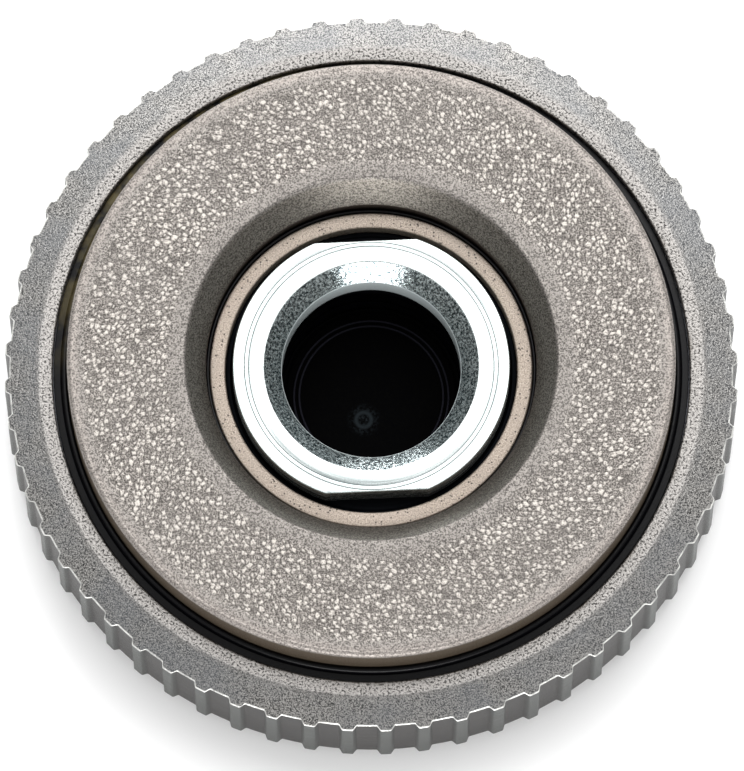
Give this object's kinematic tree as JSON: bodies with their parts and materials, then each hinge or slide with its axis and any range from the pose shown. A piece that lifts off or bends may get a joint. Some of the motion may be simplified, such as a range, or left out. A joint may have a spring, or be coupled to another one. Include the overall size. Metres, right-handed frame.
{
  "type": "keyless quick-clamping chuck nut",
  "caption": "Hand-tightened quick-clamping chuck nut with a threaded hub, a granular pressure plate and a ridged hand ring that releases the plate over ball ramps.",
  "frame": {"origin": "middle of the back cover's outer face, where the nut rests on a bench", "axes": "+Z along the thread's axis, out of the clamping side; the ridges, flats and tracks are set about it from +X"},
  "size_m": [0.0484, 0.0484, 0.013],
  "materials": {
    "zinc_steel": "bright zinc-plated turned steel",
    "sintered_bronze": "sintered bronze, fine open pores",
    "hard_steel": "ground hardened steel",
    "spring_steel": "oiled spring steel",
    "bearing_plastic": "natural slide-bearing plastic",
    "black_plastic": "moulded black plastic",
    "cover_steel": "pressed steel, satin",
    "screw_steel": "blackened steel",
    "felt": "dense felt",
    "blasted_ring": "matte blasted metal",
    "ball_steel": "polished bearing steel",
    "cage_brass": "stamped brass sheet",
    "cast_plate": "coarse granular face with smooth rims",
    "black_rubber": "smooth rubber"
  },
  "bodies": {
    "hub": {"threaded_hub": "zinc_steel", "guide_bush": "sintered_bronze", "guide_pins": "hard_steel", "cam_circlip": "spring_steel", "thrust_washer": "bearing_plastic", "slide_band": "bearing_plastic", "return_spring": "spring_steel", "bore_cap": "black_plastic", "back_cover": "cover_steel", "cover_screws": "screw_steel", "rear_dust_seal": "felt"},
    "hand_ring": {"hand_ring": "blasted_ring", "cam_ring": "hard_steel", "drive_dowels": "hard_steel", "spring_pin": "hard_steel", "plate_snap_ring": "spring_steel", "front_dust_seal": "black_rubber"},
    "pressure_plate": {"pressure_plate": "cast_plate", "bore_wiper": "black_rubber", "disc_spring": "spring_steel"},
    "ball_set": {"ramp_balls": "ball_steel", "ball_cage": "cage_brass"}
  },
  "joints": [
    {"name": "ring_turn", "type": "hinge", "parent": "hub", "child": "hand_ring", "pos_m": [0, 0, 0.005], "axis": [0, 0, 1], "range_deg": [-40, 0], "stiffness_Nm_per_rad": 0.5, "springref_deg": 5.73, "deforming": ["return_spring", "disc_spring"]},
    {"name": "plate_slide", "type": "slide", "parent": "hub", "child": "pressure_plate", "axis": [0, 0, -1], "range_m": [0, 0.0006]},
    {"name": "ball_roll", "type": "hinge", "parent": "pressure_plate", "child": "ball_set", "pos_m": [0, 0, 0.007], "axis": [0, 0, 1], "range_deg": [-20, 0]}
  ],
  "couplings": [
    {"joint": "plate_slide", "follows": "ring_turn", "m_per_rad": -0.000859},
    {"joint": "ball_roll", "follows": "ring_turn", "ratio": 0.5}
  ]
}
